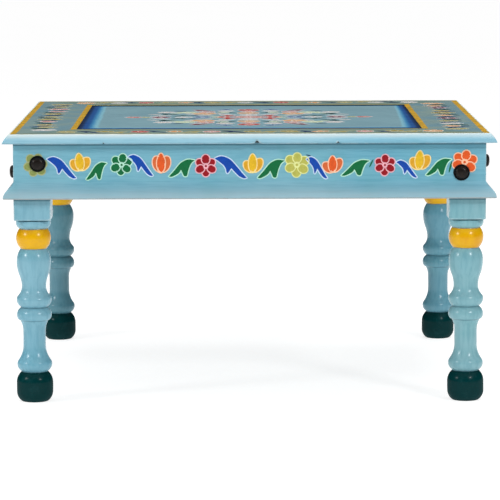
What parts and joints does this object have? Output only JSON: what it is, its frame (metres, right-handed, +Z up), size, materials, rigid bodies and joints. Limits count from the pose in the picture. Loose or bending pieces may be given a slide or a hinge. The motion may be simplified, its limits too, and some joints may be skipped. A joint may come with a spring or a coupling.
{
  "type": "low table",
  "caption": "Square low table with a framed sunken top, a deep box apron, a flared base moulding and turned legs that unbolt.",
  "frame": {"origin": "on the floor, under the middle of the table", "axes": "+Z up, +X to the right along the width as seen from the front, the front faces -Y"},
  "size_m": [0.8, 0.8, 0.442],
  "materials": {
    "blue_paint": "light blue enamel paint, satin to gloss, worn at the edges",
    "panel_paint": "light blue enamel paint, darker blue towards its edges",
    "leg_paint": "light blue paint with a yellow bead and a dark teal foot",
    "bare_wood": "planed softwood, unpainted",
    "black_iron": "black, satin",
    "plain_steel": "plain zinc"
  },
  "bodies": {
    "root": {"top_front_board": "blue_paint", "top_back_board": "blue_paint", "top_left_board": "blue_paint", "top_right_board": "blue_paint", "apron_front": "blue_paint", "apron_back": "blue_paint", "apron_left": "blue_paint", "apron_right": "blue_paint", "moulding_front": "blue_paint", "moulding_back": "blue_paint", "moulding_left": "blue_paint", "moulding_right": "blue_paint", "top_panel": "panel_paint", "leg_front_left": "leg_paint", "leg_front_right": "leg_paint", "leg_back_left": "leg_paint", "leg_back_right": "leg_paint", "cleat_front": "bare_wood", "cleat_back": "bare_wood", "cleat_left": "bare_wood", "cleat_right": "bare_wood", "batten_left": "bare_wood", "batten_right": "bare_wood", "mitre_tongues": "bare_wood", "leg_bolts": "black_iron", "bolt_rosettes": "black_iron", "bolt_washers": "plain_steel", "bolt_nuts": "plain_steel", "top_screws": "plain_steel", "cleat_screws": "plain_steel", "batten_screws": "plain_steel"}
  },
  "joints": []
}
